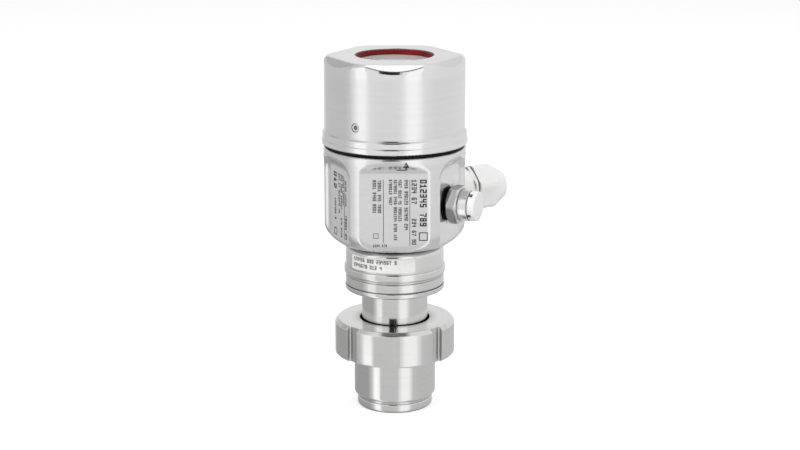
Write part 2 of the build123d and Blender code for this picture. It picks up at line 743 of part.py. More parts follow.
def display_panel():
    length, width, depth = SCREEN_SIZE
    middle = DISPLAY_TOP - (depth + SCREEN_SINK) / 2
    panel = Pos(0, SCREEN_Y, middle) * Box(length, width, depth - SCREEN_SINK)
    return chamfer(panel.edges().group_by(Axis.Z)[-1], SCREEN_SINK)


def display_key(place):
    top = DISPLAY_TOP + KEY_PROUD
    return place * turned((0, top - KEY_H), (KEY_R, top - KEY_H), (KEY_R, top, KEY_ROUND), (0, top))


# Vent plug

def vent_levels():
    hex_foot = PORT_FLAT + VENT_GASKET_T
    shank_foot = hex_foot + VENT_HEX_T
    return hex_foot, shank_foot, shank_foot + VENT_SHANK_T


def vent_gasket():
    return radial(VENT_AZIMUTH, PORT_Z) * turned(
        (VENT_THREAD_R, PORT_FLAT), (VENT_GASKET_R, PORT_FLAT, 0.5),
        (VENT_GASKET_R, PORT_FLAT + VENT_GASKET_T, 0.5), (VENT_THREAD_R, PORT_FLAT + VENT_GASKET_T))


def bevelled_hexagon(across_flats, low, high, turn, both=True):
    """Hexagon with the turned bevel that its corners have."""
    corner = across_flats / 2 / cos(pi / 6)
    bevel = corner - across_flats / 2
    drop = bevel * tan(radians(30))
    foot = (corner - bevel, low) if both else (corner, low)
    points = [(0, low), foot]
    if both:
        points.append((corner, low + drop))
    points += [(corner, high - drop), (corner - bevel, high), (0, high)]
    return hexagon(across_flats, low, high, turn) & turned(*points)


def vent_body():
    """Hexagon and shank; a step under the cap leaves a shadow gap."""
    hex_foot, shank_foot, top = vent_levels()
    end = PORT_FLAT - VENT_THREAD_L
    step = VENT_SHANK_R - VENT_GROOVE_D
    body = bevelled_hexagon(VENT_HEX, hex_foot, shank_foot, VENT_TURN)
    body += turned(
        (0, shank_foot), (VENT_SHANK_R, shank_foot), (VENT_SHANK_R, top - VENT_GROOVE_W, 0.4),
        (step, top - VENT_GROOVE_W), (step, top), (0, top))
    body += turned((0, end), (VENT_THREAD_R, end, 0.6), (VENT_THREAD_R, hex_foot), (0, hex_foot))
    return radial(VENT_AZIMUTH, PORT_Z) * (body - disc(VENT_BORE_R, end - 1, top + 1))


def vent_nut():
    high = PORT_FLAT - CAN_WALL
    low = high - VENT_NUT_T
    nut = bevelled_hexagon(VENT_NUT_HEX, low, high, 0.0) - disc(VENT_THREAD_R, low - 1, high + 1)
    return radial(VENT_AZIMUTH, PORT_Z) * nut


def vent_membrane():
    """Membrane disc on the body's end, under the cap."""
    top = vent_levels()[2]
    return radial(VENT_AZIMUTH, PORT_Z) * disc(VENT_CAP_R - VENT_CAP_WALL - RUN, top, top + VENT_MEMBRANE_T)


def vent_cap():
    """Hollow cap over the membrane; slots in its wall let the air pass."""
    foot = vent_levels()[2]
    top = foot + VENT_CAP_T
    inner = VENT_CAP_R - VENT_CAP_WALL
    roof = top - VENT_CAP_WALL
    cap = turned(
        (inner, foot), (VENT_CAP_R, foot), (VENT_CAP_R, top, VENT_CAP_ROUND), (0, top), (0, roof),
        (inner, roof))
    slot = Pos(VENT_CAP_R, 0, foot) * Box(3 * VENT_CAP_WALL, VENT_CAP_SLOT, 2 * VENT_CAP_SLOT_L)
    for k in range(VENT_CAP_SLOTS):
        cap -= Rot(0, 0, VENT_TURN + 360.0 * k / VENT_CAP_SLOTS) * slot
    return radial(VENT_AZIMUTH, PORT_Z) * cap


# Cable gland

def gland_levels():
    base = PORT_FLAT + GLAND_GASKET_T
    hex_foot = base + GLAND_BASE_T + GLAND_NECK_T
    stem = hex_foot + GLAND_HEX_T
    return base, hex_foot, stem


def gland_gasket():
    outer = GLAND_BASE_R - GLAND_GASKET_INSET
    gasket = ring(GLAND_THREAD_R, outer, PORT_FLAT, PORT_FLAT + GLAND_GASKET_T)
    return radial(GLAND_AZIMUTH, PORT_Z) * gasket


def gland_body():
    base, hex_foot, stem = gland_levels()
    end = PORT_FLAT - GLAND_THREAD_L
    stem_top = stem + GLAND_STEM_L
    groove = hex_foot - GLAND_NECK_T
    body = turned(
        (0, end), (GLAND_THREAD_R, end, 0.6), (GLAND_THREAD_R, base), (GLAND_BASE_R, base, 0.8),
        (GLAND_BASE_R, groove, 0.6), (GLAND_NECK_R, groove), (GLAND_NECK_R, hex_foot), (0, hex_foot))
    body += bevelled_hexagon(GLAND_HEX, hex_foot, stem, GLAND_TURN, both=False)
    body += turned((0, stem), (GLAND_STEM_R, stem), (GLAND_STEM_R, stem_top, 0.6), (0, stem_top))
    body -= disc(GLAND_BORE_R, end - 1, stem_top + 1)
    body -= disc(BUSH_R + BUSH_PLAY, stem, stem_top + 1)
    return radial(GLAND_AZIMUTH, PORT_Z) * body


def gland_lock_nut():
    high = PORT_FLAT - CAN_WALL
    low = high - GLAND_NUT_T
    nut = bevelled_hexagon(GLAND_NUT_HEX, low, high, 0.0) - disc(GLAND_THREAD_R, low - 1, high + 1)
    return radial(GLAND_AZIMUTH, PORT_Z) * nut


def gland_seal_insert():
    """Rubber bush that the dome nut squeezes round the cable."""
    stem = gland_levels()[2]
    foot = stem + BUSH_FOOT
    collar = stem + GLAND_STEM_L + DOME_GAP
    collar_r = BUSH_R + BUSH_COLLAR
    tip = stem + GLAND_STEM_L + BUSH_TIP
    return radial(GLAND_AZIMUTH, PORT_Z) * turned(
        (CABLE_R, foot), (BUSH_R, foot), (BUSH_R, collar), (collar_r, collar),
        (collar_r, collar + BUSH_COLLAR_T), (CABLE_R + BUSH_COLLAR, tip), (CABLE_R, tip))


def gland_dome_nut():
    """Six flats with narrow ribs between them, closing in a cone with a round mouth."""
    foot = gland_levels()[2] + DOME_GAP
    straight = foot + DOME_STRAIGHT
    top = foot + DOME_L
    form = turned(
        (0, foot), (DOME_R, foot, 0.5), (DOME_R, straight, DOME_SHOULDER),
        (DOME_END_R, top, DOME_END_ROUND), (0, top))
    form &= hexagon(DOME_HEX, foot, top, DOME_TURN)
    bore = GLAND_STEM_R + RUN
    stem_top = gland_levels()[2] + GLAND_STEM_L
    hollow = turned(
        (0, foot - 1), (bore, foot - 1), (bore, stem_top + DOME_SEAT_LOW),
        (DOME_MOUTH_R, stem_top + DOME_SEAT_HIGH), (DOME_MOUTH_R, top + 1), (0, top + 1))
    return radial(GLAND_AZIMUTH, PORT_Z) * (form - hollow)


NODES = {
    "process_adapter": process_adapter,
    "process_diaphragm": process_diaphragm,
    "sensor_cell": sensor_cell,
    "sensor_header": sensor_header,
    "sensor_lead": sensor_lead,
    "neck_seal": neck_seal,
    "coupling_nut": coupling_nut,
    "sensor_collar": sensor_collar,
    "turn_lock_screw": turn_lock_screw,
    "housing_shell": housing_shell,
    "housing_sleeve": housing_sleeve,
    "sleeve_seal": sleeve_seal,
    "snap_ring": snap_ring,
    "cover_neck_ring": cover_neck_ring,
    "cover_seal": cover_seal,
    "cover_shell": cover_shell,
    "cover_thread_ring": cover_thread_ring,
    "cover_lock_screw": cover_lock_screw,
    "window_seal": window_seal,
    "window_glass": window_glass,
    "window_frame": window_frame,
    "window_retainer": window_retainer,
    "electronics_insert": electronics_insert,
    "insert_screws": insert_screws,
    "sensor_plug": sensor_plug,
    "terminal_block": terminal_block,
    "terminal_screws": terminal_screws,
    "ground_screw": ground_screw,
    "display_posts": display_posts,
    "display_housing": display_housing,
    "display_panel": display_panel,
    "vent_gasket": vent_gasket,
    "vent_body": vent_body,
    "vent_nut": vent_nut,
    "vent_membrane": vent_membrane,
    "vent_cap": vent_cap,
    "gland_gasket": gland_gasket,
    "gland_body": gland_body,
    "gland_lock_nut": gland_lock_nut,
    "gland_seal_insert": gland_seal_insert,
    "gland_dome_nut": gland_dome_nut,
}

for name, make in NODES.items():
    export_step(make(), f"parts/{name}.step")

for name, place in zip(("display_key_left", "display_key_middle", "display_key_right"), key_places()):
    export_step(display_key(place), f"parts/{name}.step")
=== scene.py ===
# %% [markdown]
# This lesson dresses a pressure transmitter that was drawn in CAD. The CAD solids come in as a
# fixed frame, in metres, and each of them keeps its shape and its place. What is left for Blender
# is what the eye reads next: the sheen of drawn and of turned steel, rubber, nylon and glass, the
# etched marks on the flats, the paper label on the collar, and the light of a small studio.

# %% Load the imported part
import json
import math
import random

import bpy
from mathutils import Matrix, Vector


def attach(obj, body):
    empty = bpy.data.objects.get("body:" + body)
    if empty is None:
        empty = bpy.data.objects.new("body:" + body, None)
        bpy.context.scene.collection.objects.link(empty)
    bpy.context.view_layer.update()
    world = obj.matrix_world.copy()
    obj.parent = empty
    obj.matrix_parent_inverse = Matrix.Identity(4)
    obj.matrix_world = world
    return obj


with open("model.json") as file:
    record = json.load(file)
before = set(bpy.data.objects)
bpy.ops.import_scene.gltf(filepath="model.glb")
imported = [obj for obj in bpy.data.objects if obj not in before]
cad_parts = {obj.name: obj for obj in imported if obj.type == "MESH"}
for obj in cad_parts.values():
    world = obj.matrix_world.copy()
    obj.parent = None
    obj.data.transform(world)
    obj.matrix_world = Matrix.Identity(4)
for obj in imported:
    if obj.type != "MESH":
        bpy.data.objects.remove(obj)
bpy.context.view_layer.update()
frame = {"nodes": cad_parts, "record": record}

parts = frame["nodes"]

# %% [markdown]
# The camera comes first, because the studio is built around what it sees. The photograph was taken
# from a little over a metre away, looking down by about fourteen degrees, with a lens about as
# long as a portrait lens. A short lens from nearby would have bent the round edges more than they
# are.

# %% Set the camera
VIEW_DISTANCE = 1.0686
VIEW_HEIGHT = 0.3783
VIEW_SIDE = 0.0031
VIEW_PITCH = math.radians(14.2)

lens = bpy.data.cameras.new("photo_camera")
lens.sensor_width = 36.0
lens.lens = 85.5
camera = bpy.data.objects.new("photo_camera", lens)
bpy.context.scene.collection.objects.link(camera)
camera.location = (VIEW_SIDE, -VIEW_DISTANCE, VIEW_HEIGHT)
camera.rotation_euler = (math.pi / 2 - VIEW_PITCH, 0, 0)
bpy.context.scene.camera = camera
bpy.context.scene.view_settings.view_transform = "Standard"
print("camera at", tuple(round(value, 3) for value in camera.location))

# %% [markdown]
# Materials here are small networks of nodes. A few helpers keep their cells short. They add a node
# and set its values, join two sockets, start a material with its main shader, and make the sums,
# blends and noise that most materials need.

# %% Helpers for node networks
def add_node(tree, kind, **values):
    """Add a node; a keyword is a property or, with words joined by _, an input socket."""
    made = tree.nodes.new(kind)
    for name, value in values.items():
        if hasattr(made, name):
            setattr(made, name, value)
        else:
            made.inputs[name.replace("_", " ")].default_value = value
    return made


def join(tree, start, end):
    """Draw a wire from an output socket to an input socket."""
    tree.links.new(start, end)


def start_material(name, **shader_values):
    """A new material with a principled shader; returns the material, its tree and the shader."""
    material = bpy.data.materials.new(name)
    material.use_nodes = True
    tree = material.node_tree
    tree.nodes.clear()
    shader = tree.nodes.new("ShaderNodeBsdfPrincipled")
    output = tree.nodes.new("ShaderNodeOutputMaterial")
    join(tree, shader.outputs["BSDF"], output.inputs["Surface"])
    for socket, value in shader_values.items():
        shader.inputs[socket.replace("_", " ")].default_value = value
    return material, tree, shader


def feed(tree, value, socket):
    """Set an input, from another socket or from a plain value."""
    if isinstance(value, bpy.types.NodeSocket):
        join(tree, value, socket)
    else:
        socket.default_value = value


def math_node(tree, operation, first, second=None):
    """One step of arithmetic; numbers and sockets may be mixed. Returns the result's socket."""
    made = tree.nodes.new("ShaderNodeMath")
    made.operation = operation
    for socket, value in zip(made.inputs, (first, second)):
        if value is not None:
            feed(tree, value, socket)
    return made.outputs[0]


def product(tree, first, second):
    """The product of two numbers or sockets."""
    return math_node(tree, "MULTIPLY", first, second)


def total(tree, first, second):
    """The sum of two numbers or sockets."""
    return math_node(tree, "ADD", first, second)


def spread(tree, value, low, high, start=0.0, end=1.0, smooth=False):
    """Map a value from low..high to start..end."""
    made = tree.nodes.new("ShaderNodeMapRange")
    if smooth:
        made.interpolation_type = "SMOOTHSTEP"
    for socket, number in zip(list(made.inputs)[1:5], (low, high, start, end)):
        socket.default_value = number
    join(tree, value, made.inputs[0])
    return made.outputs[0]


def mix_colours(tree, share, first, second, blend="MIX"):
    """Blend two colours by a share; each may be a value or a socket."""
    made = add_node(tree, "ShaderNodeMix", data_type="RGBA", blend_type=blend)
    for number, value in zip((0, 6, 7), (share, first, second)):
        feed(tree, value, made.inputs[number])
    return made.outputs[2]


def tinted(colour, factor=1.0):
    """A colour made darker or lighter, with the alpha that a colour socket asks for."""
    return tuple(min(value * factor, 1.0) for value in colour) + (1.0,)


def object_noise(tree, scale, detail, **values):
    """Noise in the coordinates of the object; scale is changes per metre."""
    made = add_node(tree, "ShaderNodeTexNoise", Scale=scale, Detail=detail, **values)
    place = add_node(tree, "ShaderNodeTexCoord").outputs["Object"]
    join(tree, place, made.inputs["Vector"])
    return made.outputs[0]


print("node helpers ready")

# %% [markdown]
# Steel shows how it was made. A turned piece carries fine rings from the tool, so its highlights
# are drawn out across the rings, up and down the piece. A drawn and brushed can has short lines
# that run round it, broken up by the brush, and slow waves that make a reflection swim a little.
# Both come from noise that is squeezed in one direction, in the coordinates of the object itself.
# The patterns use the distance from the axis and the height, so the same material works on a wall
# and on an end face.

# %% Coordinates that run round an axis
def axis_coordinates(tree, turn=(0.0, 0.0, 0.0), centre=(0.0, 0.0, 0.0)):
    """Sockets for the distance from an axis, the angle round it and the height along it."""
    place = add_node(tree, "ShaderNodeTexCoord").outputs["Object"]
    moved = add_node(tree, "ShaderNodeMapping", vector_type="TEXTURE",
                     Location=centre, Rotation=turn)
    join(tree, place, moved.inputs["Vector"])
    split = tree.nodes.new("ShaderNodeSeparateXYZ")
    join(tree, moved.outputs[0], split.inputs[0])
    x, y, height = split.outputs
    distance = math_node(tree, "SQRT", total(tree, product(tree, x, x), product(tree, y, y)))
    angle = math_node(tree, "ARCTAN2", x, y)
    return distance, angle, height


def ring_noise(tree, sockets, across, along, detail=3.0, seed=0.0):
    """Noise squeezed into rings: across is lines per metre, along is changes per turn."""
    vector = tree.nodes.new("ShaderNodeCombineXYZ")
    for number, stretch in enumerate((across, along, across)):
        join(tree, product(tree, sockets[number], stretch), vector.inputs[number])
    noise = add_node(tree, "ShaderNodeTexNoise", noise_dimensions="4D",
                     W=seed, Scale=1.0, Detail=detail)
    join(tree, vector.outputs[0], noise.inputs["Vector"])
    return noise.outputs[0]


def bumped(tree, height, depth, base=None):
    """A bump of so many metres; base is a normal that it adds to."""
    made = add_node(tree, "ShaderNodeBump", Strength=1.0, Distance=depth)
    join(tree, height, made.inputs["Height"])
    if base is not None:
        join(tree, base, made.inputs["Normal"])
    return made.outputs[0]


def soft_edge(tree, radius):
    """A normal that rounds sharp edges, and a mask that is 1 where an edge is near."""
    bevel = add_node(tree, "ShaderNodeBevel", samples=6, Radius=radius)
    flat = tree.nodes.new("ShaderNodeNewGeometry")
    dot = add_node(tree, "ShaderNodeVectorMath", operation="DOT_PRODUCT")
    join(tree, bevel.outputs[0], dot.inputs[0])
    join(tree, flat.outputs["Normal"], dot.inputs[1])
    mask = spread(tree, dot.outputs["Value"], 0.995, 0.85)
    return bevel.outputs[0], mask


print("ring patterns ready")

# %% [markdown]
# The steels are one recipe with different numbers: how bright the metal is, how rough, how far its
# highlights are drawn out, how fine the rings are and how deep they are cut. Handling leaves a
# faint haze that makes some patches a little duller, and the edges are rubbed a little brighter.
# The cover's wall is satin between a polished rim and a polished crown, so its recipe gets a band
# of heights where the metal is rougher. The vent's hexagon was milled, and its flats get painted
# light and shade: every second one is painted darker and the others lighter. The can is drawn in a
# little at its mouth. Its CAD wall is straight there, and a bump with the profile of that curve
# turns the reflections. Turned walls are never quite round, so slow upright streaks break up what
# they mirror. Grooves and recesses get painted shade, which darkens the colour there.

# %% Recipe for steel
# Painted shade in grooves and recesses: how far it reaches, and what is left of the colour.
RECESS_SHADE = (0.0025, 0.35)      # how far a recess darkens, and what is left of its colour
STREAKS = (4.0, 26.0)       # upright streaks: changes per metre, and changes round the piece
# Painted light and shade on a hexagon's flats: the soft ends, and the darker and the lighter tone.
PAINTED_FLAT_FADE = 0.0002        # soft ends of the milled flats
PAINTED_FLAT_TONES = (0.6, 1.3)   # every second flat is dull, and the others are bright
RUBBED = (0.92, 0.92, 0.92, 1.0)
WHITE = (1.0, 1.0, 1.0, 1.0)


def painted_recess_shade(tree, colour, reach, dark):
    """Paint shade into a colour where the surface lies deep between others; dark is what is left of
    it.
    """
    depth = add_node(tree, "ShaderNodeAmbientOcclusion", samples=6, Distance=reach)
    share = spread(tree, depth.outputs["AO"], 0.35, 0.92)
    kept = mix_colours(tree, share, (dark, dark, dark, 1.0), WHITE)
    return mix_colours(tree, 1.0, colour, kept, blend="MULTIPLY")


def painted_flat_tones(tree, base, colour, angle, height, low, high, share):
    """Between two heights, paint light and shade onto the six flats of a hexagon, a darker and a
    lighter tone in turn.
    """
    inside = product(tree, spread(tree, height, low, low + PAINTED_FLAT_FADE),
                     spread(tree, height, high, high - PAINTED_FLAT_FADE))
    facet = math_node(tree, "COSINE", product(tree, angle, 3.0))
    shaded_tone, lit_tone = (tinted(colour, share * change) for change in PAINTED_FLAT_TONES)
    flats = mix_colours(tree, spread(tree, facet, -0.2, 0.2), lit_tone, shaded_tone)
    return mix_colours(tree, inside, base, flats)


def satin_band(tree, height, low, high, fade, extra):
    """Extra roughness between two heights, with soft ends."""
    rise = spread(tree, height, low, low + fade, smooth=True)
    fall = spread(tree, height, high, high - fade, smooth=True)
    return product(tree, product(tree, rise, fall), extra)


def drawn_in(tree, height, start, curve):
    """How far a wall has curved in at a height above the start, in metres."""
    above = math_node(tree, "MAXIMUM", math_node(tree, "SUBTRACT", height, start), 0.0)
    return product(tree, product(tree, above, above), -0.5 / curve)


def steel(name, colour, rough, drawn_out, rings, ring_depth, swim, haze, satin=None,
          mouth=None, streaks=0.0, painted_flats=None, soften=0.0003, recess_shade=RECESS_SHADE, **axis):
    """A steel: rings per metre and their depth, depth of slow waves, and roughness of haze."""
    material, tree, shader = start_material(
        name, Metallic=1.0, Anisotropic=drawn_out, Anisotropic_Rotation=0.25)
    sockets = axis_coordinates(tree, **axis)
    _, angle, height = sockets
    fine = ring_noise(tree, sockets, rings, 1.5, detail=4.0)
    broad = ring_noise(tree, sockets, rings / 9.0, 0.6, detail=2.0, seed=3.0)
    cloud = object_noise(tree, 38.0, 3.0)
    wave = object_noise(tree, 22.0, 0.0)
    edge_normal, edge_mask = soft_edge(tree, soften)
    tone = total(tree, product(tree, fine, 0.5), product(tree, broad, 0.5))
    base = mix_colours(tree, spread(tree, tone, 0.3, 0.7),
                       tinted(colour, 0.96), tinted(colour, 1.03))
    # Painted light and shade: every second flat of the vent's hexagon darker, the others lighter.
    if painted_flats:
        base = painted_flat_tones(tree, base, colour, angle, height, *painted_flats)
    worn = mix_colours(tree, product(tree, edge_mask, 0.5), base, RUBBED)
    # Painted shade darkens the colour in the grooves and recesses.
    join(tree, painted_recess_shade(tree, worn, *recess_shade), shader.inputs["Base Color"])
    hazy = spread(tree, cloud, 0.42, 0.62, 0.0, haze, smooth=True)
    grain = spread(tree, fine, 0.3, 0.7, rough * 0.88, rough * 1.15)
    roughness = total(tree, grain, hazy)
    if satin:
        roughness = total(tree, roughness, satin_band(tree, height, *satin))
    join(tree, roughness, shader.inputs["Roughness"])
    normal = edge_normal
    if mouth:
        normal = bumped(tree, drawn_in(tree, height, *mouth), 1.0, base=normal)
    if streaks:
        normal = bumped(tree, ring_noise(tree, sockets, *STREAKS, seed=7.0), streaks, base=normal)
    slow = bumped(tree, wave, swim, base=normal)
    join(tree, bumped(tree, fine, ring_depth, base=slow), shader.inputs["Normal"])
    if drawn_out > 0.0 and not axis:
        round_axis = add_node(tree, "ShaderNodeTangent", direction_type="RADIAL", axis="Z")
        join(tree, round_axis.outputs[0], shader.inputs["Tangent"])
    return material


SIDE_FLAT = math.radians(66.5)              # azimuth of the flat that the vent stands on
VENT_TURN = (math.pi / 2, 0.0, SIDE_FLAT)
PORT_CENTRE = (0.0, 0.0, 0.124)
# Where the vent's hexagon gets its painted light and shade.
VENT_PAINTED_FLATS = (0.0340, 0.0412, 0.6)         # from and to along its axis, share of the colour
COVER_SATIN = (0.163, 0.2015, 0.004, 0.13)  # from and to, fade, extra roughness
CAN_MOUTH = (0.1508, 0.013)                 # where the wall starts to curve in, and its radius
# Some steels get their own reach and strength for the painted shade in their grooves.
finishes = {
    "steel_drawn": steel("drawn_steel", (0.86, 0.86, 0.86), 0.13, 0.2,
                         3600.0, 4.0e-7, 9.0e-5, 0.02),
    "cover_steel": steel("cover_steel", (0.885, 0.885, 0.885), 0.09, 0.2,
                         3600.0, 3.0e-7, 5.0e-5, 0.015, satin=COVER_SATIN),
    "can_steel": steel("can_steel", (0.86, 0.86, 0.86), 0.15, 0.2,
                       3600.0, 4.0e-7, 1.0e-4, 0.02, mouth=CAN_MOUTH, soften=0.002),
    "steel_turned": steel("turned_steel", (0.83, 0.83, 0.825), 0.08, 0.25,
                          4200.0, 1.2e-6, 2.0e-5, 0.03, streaks=3.0e-5),
    "collar_steel": steel("collar_steel", (0.84, 0.84, 0.835), 0.05, 0.1,
                          4200.0, 6.0e-7, 2.0e-5, 0.02,
                          streaks=2.4e-5, soften=0.00012, recess_shade=(0.004, 0.08)),
    "nut_steel": steel("nut_steel", (0.83, 0.83, 0.825), 0.08, 0.25,
                       4200.0, 1.2e-6, 2.0e-5, 0.03, streaks=4.0e-5, recess_shade=(0.007, 0.12)),
    "steel_small": steel("machined_steel", (0.82, 0.82, 0.82), 0.2, 0.0,
                         5200.0, 2.0e-6, 1.0e-5, 0.05, recess_shade=(0.0025, 0.7)),
    "membrane": steel("foil_steel", (0.82, 0.82, 0.82), 0.18, 0.3,
                      6000.0, 1.0e-6, 1.0e-5, 0.03),
    "vent_steel": steel("vent_steel", (0.80, 0.80, 0.795), 0.10, 0.0,
                        5200.0, 2.0e-6, 1.0e-5, 0.03,
                        painted_flats=VENT_PAINTED_FLATS, turn=VENT_TURN, centre=PORT_CENTRE),
}
print("steels:", ", ".join(sorted(finishes)))

# %% [markdown]
# The plastics, the rubbers and the brass share a second recipe. Moulded nylon is never quite even:
# it lets a little light in, its gloss changes slowly over the surface, and the mould leaves a fine
# grain. Rubber has a coarser grain and a dusty bloom.

# %% Recipe for moulded pieces
def moulded(name, colour, second, rough, grain_size, grain_depth, **shader_values):
    """Nylon, rubber or brass: two colours, a roughness, and the size and depth of the grain."""
    material, tree, shader = start_material(name, **shader_values)
    cloud = object_noise(tree, 60.0, 4.0)
    grain = object_noise(tree, 1.0 / grain_size, 3.0, Roughness=0.6)
    share = spread(tree, cloud, 0.38, 0.66, smooth=True)
    uneven = mix_colours(tree, share, tinted(colour), tinted(second))
    # Painted shade darkens the colour in the recesses.
    join(tree, painted_recess_shade(tree, uneven, 0.002, 0.45), shader.inputs["Base Color"])
    gloss = total(tree, spread(tree, cloud, 0.35, 0.65, rough * 0.85, rough * 1.15),
                  spread(tree, grain, 0.3, 0.7, -0.04, 0.04))
    join(tree, gloss, shader.inputs["Roughness"])
    edge_normal, _ = soft_edge(tree, 0.00035)
    join(tree, bumped(tree, grain, grain_depth, base=edge_normal), shader.inputs["Normal"])
    return material


finishes["white_plastic"] = moulded(
    "white_nylon", (0.88, 0.88, 0.87), (0.92, 0.92, 0.91), 0.34, 0.0006, 1.2e-5,
    Subsurface_Weight=0.15, Subsurface_Radius=(0.004, 0.0035, 0.003), Subsurface_Scale=1.0)
finishes["grey_plastic"] = moulded(
    "grey_housing_plastic", (0.34, 0.35, 0.36), (0.38, 0.39, 0.40), 0.45, 0.0007, 2.0e-5)
finishes["black_plastic"] = moulded(
    "black_plastic", (0.025, 0.025, 0.028), (0.04, 0.04, 0.042), 0.4, 0.0006, 2.0e-5)
finishes["black_rubber"] = moulded(
    "black_rubber", (0.008, 0.008, 0.008), (0.02, 0.02, 0.02), 0.6, 0.0008, 3.0e-5,
    Specular_IOR_Level=0.12)
finishes["red_rubber"] = moulded(
    "red_silicone", (0.17, 0.003, 0.003), (0.22, 0.005, 0.005), 0.3, 0.0009, 2.0e-5,
    Specular_IOR_Level=0.3, Subsurface_Weight=0.1, Subsurface_Radius=(0.004, 0.001, 0.001))
finishes["brass"] = moulded(
    "brass", (0.72, 0.54, 0.24), (0.80, 0.62, 0.30), 0.24, 0.0005, 8.0e-6, Metallic=1.0)
print("finishes so far:", len(finishes))

# %% [markdown]
# The sight glass is a thick toughened disc with a fine anti-glare haze, so part of its light is
# scattered and it reads pale from low down. Its polish is broken by faint wipe marks. The screen
# below it is a plain grey-green panel behind a gloss film.

# %% Glass and screen
def sight_glass():
    """Hazy glass with wipe marks and a faint ripple."""
    material, tree, shader = start_material(
        "sight_glass", Transmission_Weight=0.45, IOR=1.5, Base_Color=(0.93, 0.95, 0.945, 1.0))
    wipe = object_noise(tree, 45.0, 5.0, Distortion=1.5)
    join(tree, spread(tree, wipe, 0.45, 0.75, 0.015, 0.07), shader.inputs["Roughness"])
    ripple = object_noise(tree, 20.0, 0.0)
    join(tree, bumped(tree, ripple, 2.0e-5), shader.inputs["Normal"])
    return material


def screen_panel():
    """A screen of fine square cells under a gloss coat."""
    material, tree, shader = start_material("screen_panel", Coat_Weight=1.0, Coat_Roughness=0.04)
    place = add_node(tree, "ShaderNodeTexCoord").outputs["Object"]
    cells = add_node(tree, "ShaderNodeTexVoronoi", distance="CHEBYCHEV",
                     Scale=2600.0, Randomness=0.0)
    join(tree, place, cells.inputs["Vector"])
    share = spread(tree, cells.outputs["Distance"], 0.35, 0.5)
    colour = mix_colours(tree, share, (0.40, 0.45, 0.37, 1.0), (0.33, 0.38, 0.31, 1.0))
    join(tree, colour, shader.inputs["Base Color"])
    cloud = object_noise(tree, 90.0, 2.0)
    join(tree, spread(tree, cloud, 0.3, 0.7, 0.3, 0.42), shader.inputs["Roughness"])
    return material


finishes["sight_glass"] = sight_glass()
finishes["screen"] = screen_panel()
print("glass and screen ready")

# %% [markdown]
# Each CAD node now takes the finish of its own material slot. The record names a slot for every
# node, so one loop does it. The cover, the can, the collar, the coupling nut and the two steel
# pieces of the vent ask for a steel of their own. The vent's membrane is black, because it is seen
# only as the dark behind the slots of its cap.

# %% Dress the CAD nodes
OWN_FINISH = {
    "vent_body": "vent_steel", "vent_nut": "vent_steel", "vent_membrane": "black_rubber",
    "cover_shell": "cover_steel", "housing_shell": "can_steel",
    "sensor_collar": "collar_steel", "coupling_nut": "nut_steel",
}
slot_of = {part["node"]: part["material_slot"] for part in frame["record"]["subparts"]}
for name, part in parts.items():
    finish = finishes[OWN_FINISH.get(name, slot_of[name])]
    for slot in part.material_slots:
        slot.material = finish
print("dressed", len(parts), "nodes")

# %% [markdown]
# The flats carry laser-etched marks: rows of small dark characters that read down the plate, thin
# rules between them, a square field and an arrow that shows which way the cover opens. This part
# is plain, so its rows hold nothing but digits in counting order, as a printer's dummy text does.
# A row starts as a grid of small cells, and the cells that a digit leaves open are deleted. The
# marks are then projected straight onto the steel, so that they lie on it wherever the flat begins
# to curve.

# %% Helpers for flat marks
MM = 0.001
UPRIGHT = math.pi / 2
MARK_DISTANCE = 0.06        # how far in front of the axis a flat mark is made
ETCH_HEIGHT = 0.00003       # how far a mark lies above the steel, so that it shows
# each digit as five lines of three cells, from the top
DIGITS = ("111101101101111", "010110010010111", "111001111100111", "111001111001111",
          "101101111001001", "111100111001111", "111100111101111", "111001010010010",
          "111101111101111", "111101111001111")


def only(piece):
    """Make one object the only selected and active one."""
    bpy.ops.object.select_all(action="DESELECT")
    piece.select_set(True)
    bpy.context.view_layer.objects.active = piece


def delete_faces(piece, doomed):
    """Delete the faces whose middle the test picks."""
    only(piece)
    bpy.ops.object.mode_set(mode="EDIT")
    bpy.ops.mesh.select_mode(type="FACE")
    bpy.ops.mesh.select_all(action="DESELECT")
    bpy.ops.object.mode_set(mode="OBJECT")
    for face in piece.data.polygons:
        face.select = doomed(face.center)
    bpy.ops.object.mode_set(mode="EDIT")
    bpy.ops.mesh.delete(type="FACE")
    bpy.ops.object.mode_set(mode="OBJECT")


def etched_row(seed, middle, length, height, turn):
    """A row of digits about the local X axis; turn stands it up or lays it down."""
    letters = max(int(length / (height * 0.66)), 2)
    columns = 4 * letters
    bpy.ops.mesh.primitive_grid_add(x_subdivisions=columns, y_subdivisions=5, size=1.0)
    row = bpy.context.object
    choice = random.Random(seed)
    spaces = set()
    place = choice.randint(3, 7)
    while place < letters - 1:
        spaces.add(place)
        place += choice.randint(3, 9)

    def is_open(point):
        column = int((point.x + 0.5) * columns)
        line = 4 - int((point.y + 0.5) * 5)
        letter, cell = divmod(column, 4)
        return cell == 3 or letter in spaces or DIGITS[(letter + seed) % 10][3 * line + cell] == "0"

    delete_faces(row, is_open)
    set_mark(row, middle, (length, height), turn)
    return row


def set_mark(mark, middle, size, turn):
    """Size a flat mark, turn it in its own plane, and stand it in front of the flat."""
    mark.scale = (size[0], size[1], 1.0)
    mark.rotation_euler = (math.pi / 2, turn, 0.0)
    mark.location = (middle[0], -MARK_DISTANCE, middle[1])
    only(mark)
    bpy.ops.object.transform_apply(location=True, rotation=True, scale=True)


def upright_rows(table, first_seed):
    """Rows that read down the plate; the table has across, foot, head and height in mm."""
    rows = []
    for seed, (across, foot, head, height) in enumerate(table, first_seed):
        middle = (across * MM, (foot + head) / 2 * MM)
        rows.append(etched_row(seed, middle, (head - foot) * MM, height * MM, UPRIGHT))
    return rows


